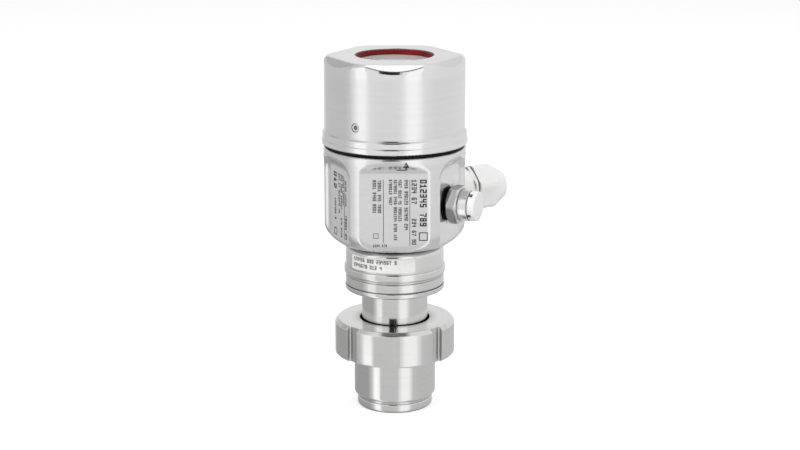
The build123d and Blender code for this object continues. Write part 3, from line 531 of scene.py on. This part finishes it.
def rule_line(middle, size):
    """A plain etched rule, divided so that it can follow the steel."""
    bpy.ops.mesh.primitive_grid_add(x_subdivisions=2, y_subdivisions=24, size=1.0)
    rule = bpy.context.object
    set_mark(rule, middle, size, 0.0)
    return rule


def joined(pieces, name):
    """Join the pieces into one object."""
    only(pieces[0])
    for piece in pieces:
        piece.select_set(True)
    bpy.ops.object.join()
    whole = bpy.context.object
    whole.name = name
    return whole


def finished(piece, finish, body):
    """Give a new piece its finish and the body that it moves with."""
    piece.data.materials.clear()
    piece.data.materials.append(finish)
    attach(piece, body)
    return piece


def etch(marks, name, azimuth, finish):
    """Swing the marks to their side and project them onto the can."""
    piece = joined(marks, name)
    piece.rotation_euler = (0.0, 0.0, azimuth)
    aim = piece.modifiers.new("press", "SHRINKWRAP")
    aim.target = parts["housing_shell"]
    aim.wrap_method = "PROJECT"
    aim.use_project_y = True
    aim.use_negative_direction = False
    aim.use_positive_direction = True
    aim.offset = ETCH_HEIGHT
    bpy.ops.object.modifier_apply(modifier=aim.name)
    bpy.ops.object.transform_apply(location=False, rotation=True, scale=False)
    return finished(piece, finish, "housing")


print("mark helpers ready")

# %% [markdown]
# Laser marks on steel are a dark grey oxide. They are matt, with a slightly uneven tone, because
# the beam passes over each line several times.

# %% Etched mark finish
def mark_finish(name, dark, light, rough):
    """A matt mark whose tone and gloss vary in fine specks."""
    material, tree, shader = start_material(name, Specular_IOR_Level=0.3)
    speck = object_noise(tree, 3500.0, 2.0)
    join(tree, mix_colours(tree, speck, tinted(dark), tinted(light)), shader.inputs["Base Color"])
    roughness = spread(tree, speck, 0.3, 0.7, rough - 0.08, rough + 0.08)
    join(tree, roughness, shader.inputs["Roughness"])
    return material


etched_oxide = mark_finish("etched_oxide", (0.008, 0.008, 0.008), (0.025, 0.025, 0.025), 0.5)
label_ink = mark_finish("label_ink", (0.01, 0.01, 0.01), (0.03, 0.03, 0.03), 0.5)
print("mark finishes ready")

# %% Rows and rules on the front flat
FRONT_ROWS = (
    (16.15, 115.5, 143.0, 3.8), (11.0, 128.7, 143.0, 2.9), (11.0, 105.2, 120.6, 2.5),
    (6.6, 113.7, 143.0, 2.0), (3.1, 118.9, 143.0, 1.8), (0.5, 107.9, 143.0, 1.8),
    (-2.2, 128.1, 143.0, 1.8), (-8.4, 123.5, 142.7, 2.0), (-11.2, 123.5, 142.7, 2.0),
)
FRONT_RULES = ((8.6, 105.0, 143.0), (-6.2, 106.7, 143.0))    # across, foot and head
marks = upright_rows(FRONT_ROWS, 0)
for across, foot, head in FRONT_RULES:
    marks.append(rule_line((across * MM, (foot + head) / 2 * MM), (0.3 * MM, (head - foot) * MM)))
marks.append(etched_row(21, (-8.1 * MM, 104.9 * MM), 8.2 * MM, 1.5 * MM, 0.0))
print("front flat marks:", len(marks))

# %% Square fields on the front flat
def square_field(middle, side, line):
    """Four rules round an empty square."""
    half = side / 2
    sides = []
    for dx, dz in ((half, 0.0), (-half, 0.0), (0.0, half), (0.0, -half)):
        size = (line, side + line) if dx else (side + line, line)
        sides.append(rule_line((middle[0] + dx, middle[1] + dz), size))
    return sides


marks += square_field((16.2 * MM, 110.3 * MM), 4.4 * MM, 0.5 * MM)
marks += square_field((-10.5 * MM, 110.6 * MM), 2.6 * MM, 0.3 * MM)
front_marks = etch(marks, "front_flat_marks", 0.0, etched_oxide)
print("front marks faces:", len(front_marks.data.polygons))

# %% [markdown]
# Above the front flat an etched arrow shows which way the cover turns off. It is a triangle on a
# short line with a corner. A circle of three points makes the triangle, and rules make the line.

# %% Opening arrow above the front flat
bpy.ops.mesh.primitive_circle_add(vertices=3, radius=1.0, fill_type="TRIFAN")
tip = bpy.context.object
bpy.ops.object.mode_set(mode="EDIT")
bpy.ops.mesh.select_all(action="SELECT")
bpy.ops.mesh.subdivide(number_cuts=3)
bpy.ops.object.mode_set(mode="OBJECT")
set_mark(tip, (6.5 * MM, 151.6 * MM), (2.2 * MM, 2.4 * MM), 0.0)
arrow = [tip, rule_line((6.5 * MM, 149.6 * MM), (0.7 * MM, 2.2 * MM)),
         rule_line((4.0 * MM, 148.6 * MM), (5.6 * MM, 0.6 * MM))]
opening_arrow = etch(arrow, "opening_arrow", 0.0, etched_oxide)
print("arrow faces:", len(opening_arrow.data.polygons))

# %% [markdown]
# The side flat to the left carries more of the same marks. The rows are laid out as if they were
# on the front, then swung round to that flat before they are projected.

# %% Rows on the left flat
SIDE_ROWS = (
    (-6.5, 131.0, 141.5, 4.2), (-6.5, 113.0, 126.0, 2.2), (-0.6, 118.0, 141.5, 2.0),
    (2.6, 121.0, 141.5, 2.0), (5.4, 124.0, 141.5, 1.8), (9.4, 124.0, 139.0, 1.8),
    (2.6, 104.5, 116.0, 2.0), (9.4, 104.5, 119.0, 2.6),
)
marks = upright_rows(SIDE_ROWS, 40)
marks.append(rule_line((7.3 * MM, 122.0 * MM), (0.4 * MM, 36.0 * MM)))
marks += square_field((-6.5 * MM, 106.5 * MM), 3.6 * MM, 0.5 * MM)
side_marks = etch(marks, "left_flat_marks", -SIDE_FLAT, etched_oxide)
print("left marks faces:", len(side_marks.data.polygons))

# %% [markdown]
# A paper label is wrapped round the front of the collar. It starts as a flat sheet, which a bend
# rolls up until it fits the cylinder, and solidify gives it the thickness of paper. Its two lines
# of digits are flat rows that are rolled up in the same way, a trifle further out.

# %% Paper finish
def paper_finish():
    """Coated paper with faint fibres."""
    material, tree, shader = start_material("label_paper", Specular_IOR_Level=0.4)
    fibre = object_noise(tree, 900.0, 5.0, Distortion=0.6)
    cloud = object_noise(tree, 70.0, 2.0)
    share = spread(tree, product(tree, fibre, cloud), 0.15, 0.4)
    colour = mix_colours(tree, share, (0.80, 0.80, 0.79, 1.0), (0.90, 0.90, 0.89, 1.0))
    join(tree, colour, shader.inputs["Base Color"])
    join(tree, spread(tree, fibre, 0.3, 0.7, 0.42, 0.56), shader.inputs["Roughness"])
    join(tree, bumped(tree, fibre, 8.0e-6), shader.inputs["Normal"])
    return material


label_paper = paper_finish()
print("paper ready")

# %% Roll a sheet onto a cylinder
LABEL_LOW, LABEL_HIGH = 86.5 * MM, 94.8 * MM
LABEL_FROM, LABEL_TO = math.radians(-58.0), math.radians(24.5)
COLLAR_R = 28.6 * MM
LABEL_T = 0.1 * MM
LABEL_GAP = 0.02 * MM       # between the collar and the paper
PRINT_GAP = 0.03 * MM       # between the paper and its print
# seed, height and foot in millimetres, first and last azimuth in degrees
PRINT_ROWS = ((61, 2.2, 91.8, -54.0, 3.0), (62, 2.2, 88.2, -54.0, -14.0))


def rolled_up(piece, radius, azimuth):
    """Roll an upright flat piece round the Z axis, and swing its middle to the azimuth."""
    only(piece)
    low = min(vertex.co.x for vertex in piece.data.vertices)
    high = max(vertex.co.x for vertex in piece.data.vertices)
    bend = piece.modifiers.new("bend", "SIMPLE_DEFORM")
    bend.deform_method = "BEND"
    bend.deform_axis = "Z"
    bend.angle = (high - low) / radius
    bpy.ops.object.modifier_apply(modifier=bend.name)
    piece.location.y = -radius
    bpy.ops.object.transform_apply(location=True, rotation=False, scale=False)
    piece.rotation_euler = (0.0, 0.0, azimuth)
    bpy.ops.object.transform_apply(location=False, rotation=True, scale=False)
    return piece


def radii(piece):
    """The least and the greatest distance from the axis, in millimetres."""
    reach = [math.hypot(vertex.co.x, vertex.co.y) / MM for vertex in piece.data.vertices]
    return round(min(reach), 3), round(max(reach), 3)


# %% Wrap the label round the collar
radius = COLLAR_R + LABEL_GAP
bpy.ops.mesh.primitive_grid_add(x_subdivisions=120, y_subdivisions=1, size=1.0)
label = bpy.context.object
label.name = "collar_label"
label.scale = ((LABEL_TO - LABEL_FROM) * radius, LABEL_HIGH - LABEL_LOW, 1.0)
label.rotation_euler = (math.pi / 2, 0.0, 0.0)
label.location = (0.0, 0.0, (LABEL_LOW + LABEL_HIGH) / 2)
bpy.ops.object.transform_apply(location=True, rotation=True, scale=True)
rolled_up(label, radius, (LABEL_FROM + LABEL_TO) / 2)
paper = label.modifiers.new("paper", "SOLIDIFY")
paper.thickness = LABEL_T
paper.offset = 1.0
bpy.ops.object.modifier_apply(modifier=paper.name)
bpy.ops.object.shade_smooth_by_angle(angle=math.radians(30))
finished(label, label_paper, "process")
print("label lies between these radii in mm:", radii(label))

# %% Print on the label
prints = []
out = radius + LABEL_T + PRINT_GAP
for seed, height, foot, start, end in PRINT_ROWS:
    length = math.radians(end - start) * out
    row = etched_row(seed, (0.0, (foot + height / 2) * MM), length, height * MM, 0.0)
    row.location.y = MARK_DISTANCE
    bpy.ops.object.transform_apply(location=True, rotation=False, scale=False)
    prints.append(rolled_up(row, out, math.radians((start + end) / 2)))
label_print = finished(joined(prints, "collar_label_print"), label_ink, "process")
print("print lies between these radii in mm:", radii(label_print))

# %% [markdown]
# The vent cap stands open behind its slots. A black ring sits inside it as painted shade: it keeps
# light from falling through the slots, and its black stands in for the shade behind them. It is a
# short tube with some thickness, turned onto the vent's axis.

# %% Black ring of painted shade inside the vent cap
SHADE_RING_R = 6.9 * MM
SHADE_RING_L = 1.8 * MM
SHADE_RING_T = 0.8 * MM
SHADE_RING_OUT = 49.5 * MM      # from the part's axis, along the vent's own
bpy.ops.mesh.primitive_cylinder_add(vertices=64, radius=SHADE_RING_R, depth=SHADE_RING_L,
                                    end_fill_type="NOTHING")
shade_ring = bpy.context.object
shade_ring.name = "vent_shade_ring"
wall = shade_ring.modifiers.new("wall", "SOLIDIFY")
wall.thickness = SHADE_RING_T
wall.offset = -1.0
bpy.ops.object.modifier_apply(modifier=wall.name)
bpy.ops.object.shade_smooth_by_angle(angle=math.radians(30))
shade_ring.rotation_euler = VENT_TURN
shade_ring.location = (SHADE_RING_OUT * math.sin(SIDE_FLAT), -SHADE_RING_OUT * math.cos(SIDE_FLAT),
                   PORT_CENTRE[2])
bpy.ops.object.transform_apply(location=True, rotation=True, scale=False)
# Its black is painted shade behind the slots.
finished(shade_ring, finishes["black_rubber"], "housing")
print("fleece ring faces:", len(shade_ring.data.polygons))

# %% [markdown]
# The studio comes last. A wide pale floor takes the object's shadow. The floor is white to the
# camera, which is what a photographer gets from a lit table. Metal doesn't look like its own
# colour but like the room around it, so the world is a small studio of its own for glossy rays. It
# has pale walls that are duller to the left and at the back, a tall soft box on either side of the
# camera, a lit ceiling, a darker table below, and the dark shape of the camera itself in the
# middle.

# %% Floor
FLOOR_GREY = (0.62, 0.62, 0.62, 1.0)
FLOOR_GLOW = 0.56
bpy.ops.object.select_all(action="DESELECT")
bpy.ops.mesh.primitive_plane_add(size=14.0, location=(0.0, 0.0, -0.0001))
floor = bpy.context.object
floor.name = "studio_floor"
floor_material = bpy.data.materials.new("pale_floor")
floor_material.use_nodes = True
tree = floor_material.node_tree
tree.nodes.clear()
paint = add_node(tree, "ShaderNodeBsdfDiffuse", Color=FLOOR_GREY)
glow = tree.nodes.new("ShaderNodeEmission")
path = tree.nodes.new("ShaderNodeLightPath")
mirrored = math_node(tree, "MAXIMUM",
                     path.outputs["Is Glossy Ray"], path.outputs["Is Transmission Ray"])
seen = math_node(tree, "MAXIMUM", path.outputs["Is Camera Ray"], mirrored)
join(tree, product(tree, seen, FLOOR_GLOW), glow.inputs["Strength"])
both = tree.nodes.new("ShaderNodeAddShader")
join(tree, paint.outputs[0], both.inputs[0])
join(tree, glow.outputs[0], both.inputs[1])
output = tree.nodes.new("ShaderNodeOutputMaterial")
join(tree, both.outputs[0], output.inputs["Surface"])
floor.data.materials.append(floor_material)
floor.visible_glossy = False
print("floor laid")

# %% Studio world
world = bpy.data.worlds.new("studio")
bpy.context.scene.world = world
world.use_nodes = True
tree = world.node_tree
tree.nodes.clear()
direction = add_node(tree, "ShaderNodeTexCoord").outputs["Generated"]
split = tree.nodes.new("ShaderNodeSeparateXYZ")
join(tree, direction, split.inputs[0])
x, y, z = split.outputs
bearing = math_node(tree, "ARCTAN2", x, product(tree, y, -1.0))
rise = math_node(tree, "ARCSINE", z)


def window_of(value, low, high, soft):
    """1 between low and high degrees, fading over soft degrees at each end."""
    low, high, soft = (math.radians(number) for number in (low, high, soft))
    up = spread(tree, value, low - soft, low + soft, smooth=True)
    down = spread(tree, value, high + soft, high - soft, smooth=True)
    return product(tree, up, down)


def patch(bearings, rises, soft, strength):
    """A soft-edged rectangle of light in the room, negative for a dark shape."""
    area = product(tree, window_of(bearing, *bearings, soft), window_of(rise, *rises, soft))
    return product(tree, area, strength)


ROOM = 0.8          # light of the walls in a reflection
AMBIENT = 0.56      # light that falls on matt surfaces
# bearings from the camera's side and rises, both in degrees, width of the soft edge, added light
PATCHES = (
    ((-66.0, -45.0), (-60.0, 45.0), 4.0, 0.32),         # left soft box
    ((17.0, 44.0), (-60.0, 50.0), 5.0, 0.30),           # right soft box
    ((66.0, 178.0), (-60.0, 20.0), 10.0, -0.05),        # right wall
    ((-156.0, -76.0), (-60.0, 60.0), 8.0, -0.28),       # left wall
    ((124.0, 168.0), (24.0, 50.0), 6.0, -0.12),         # back wall, right half
    ((-168.0, -124.0), (24.0, 50.0), 6.0, -0.18),       # back wall, left half
    ((130.0, 190.0), (66.0, 88.0), 4.0, 0.45),          # light under the ceiling at the back,
    ((-190.0, -130.0), (66.0, 88.0), 4.0, 0.45),        # in two halves that meet at 180 degrees
    ((-180.0, 180.0), (84.0, 100.0), 5.0, 0.4),         # ceiling light
    ((-50.0, 50.0), (60.0, 80.0), 8.0, -0.80),          # unlit ceiling above the camera
    ((-180.0, 180.0), (-100.0, -15.6), 1.4, -0.25),     # table
    ((-62.0, -42.0), (-100.0, -17.5), 1.5, 0.40),       # left soft box on the table
    ((10.0, 52.0), (-100.0, -16.0), 2.0, 0.25),         # right soft box on the table
)
CAMERA_SHAPE = ((-20.0, 8.0), (12.0, 68.0), 1.6, 1.0)
CAMERA_DARK = 0.02  # what the camera's shape leaves of the light
light = 1.0
for patch_values in PATCHES:
    light = total(tree, patch(*patch_values), light)
shade = spread(tree, patch(*CAMERA_SHAPE), 0.0, 1.0, 1.0, CAMERA_DARK)
room = product(tree, product(tree, light, ROOM), shade)
path = tree.nodes.new("ShaderNodeLightPath")
plain = math_node(tree, "MAXIMUM",
                  path.outputs["Is Camera Ray"], path.outputs["Is Transmission Ray"])
not_glossy = spread(tree, plain, 0.0, 1.0, AMBIENT, 1.0)
glossy = path.outputs["Is Glossy Ray"]
inverse = math_node(tree, "SUBTRACT", 1.0, glossy)
strength = total(tree, product(tree, glossy, room), product(tree, inverse, not_glossy))
glow = add_node(tree, "ShaderNodeBackground", Color=WHITE)
join(tree, strength, glow.inputs["Strength"])
output = tree.nodes.new("ShaderNodeOutputWorld")
join(tree, glow.outputs[0], output.inputs["Surface"])
print("studio world has", len(PATCHES), "patches of light")

# %% Soft lamps
LAMP_AIM = Vector((0, 0, 0.11))
# name, bearing in degrees, height, distance, side and power
LAMPS = (
    ("left_lamp", -48.0, 0.9, 1.3, 0.9, 9.0),
    ("right_lamp", 38.0, 1.0, 1.3, 0.9, 8.0),
    ("top_lamp", 170.0, 1.5, 0.5, 1.0, 6.0),
)


def soft_lamp(name, bearing, height, distance, side, power):
    """A square soft lamp that looks at the middle of the object."""
    data = bpy.data.lights.new(name, "AREA")
    data.shape = "SQUARE"
    data.size = side
    data.energy = power
    lamp = bpy.data.objects.new(name, data)
    bpy.context.scene.collection.objects.link(lamp)
    angle = math.radians(bearing)
    lamp.location = (distance * math.sin(angle), -distance * math.cos(angle), height)
    lamp.rotation_euler = (LAMP_AIM - lamp.location).to_track_quat("-Z", "Y").to_euler()
    lamp.visible_glossy = False
    return lamp


lamps = [soft_lamp(*values) for values in LAMPS]
print("lamps:", ", ".join(lamp.name for lamp in lamps))
